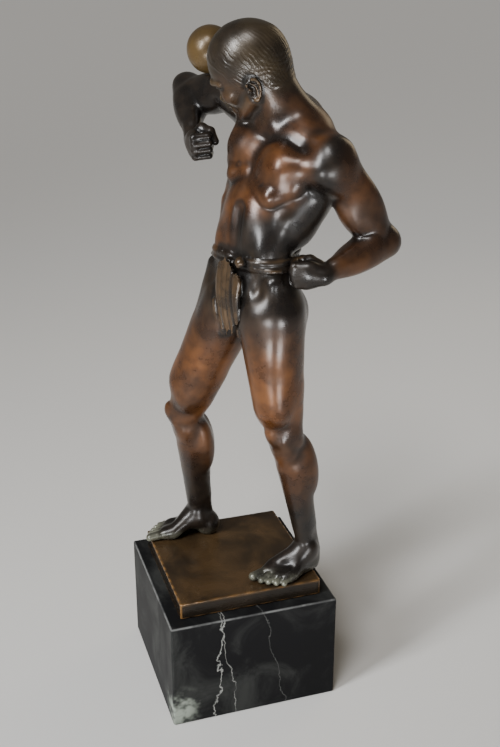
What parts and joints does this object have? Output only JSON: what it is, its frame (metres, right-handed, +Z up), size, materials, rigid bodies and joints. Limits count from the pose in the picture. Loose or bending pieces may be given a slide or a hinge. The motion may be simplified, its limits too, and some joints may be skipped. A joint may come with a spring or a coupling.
{
  "type": "bronze athlete statue",
  "caption": "Bronze athlete in a loincloth, one fist on his hip and a ball balanced on his raised arm, on a bronze plate and a black marble block.",
  "frame": {"origin": "middle of the marble block's underside", "axes": "+Z up; the athlete faces -Y, his right side is at -X; the block's sides run along X and Y"},
  "size_m": [0.1688, 0.1584, 0.4584],
  "materials": {
    "patinated_bronze": "polished dark brown patina on cast bronze, rubbed red-brown on the high places",
    "rubbed_bronze": "polished golden-brown patina on cast bronze",
    "plate_bronze": "polished olive-brown patina, bright worn edges",
    "black_marble": "polished black marble with fine white veins"
  },
  "bodies": {
    "root": {"athlete_figure": "patinated_bronze", "ball": "rubbed_bronze", "bronze_plate": "plate_bronze", "marble_block": "black_marble"}
  },
  "joints": []
}
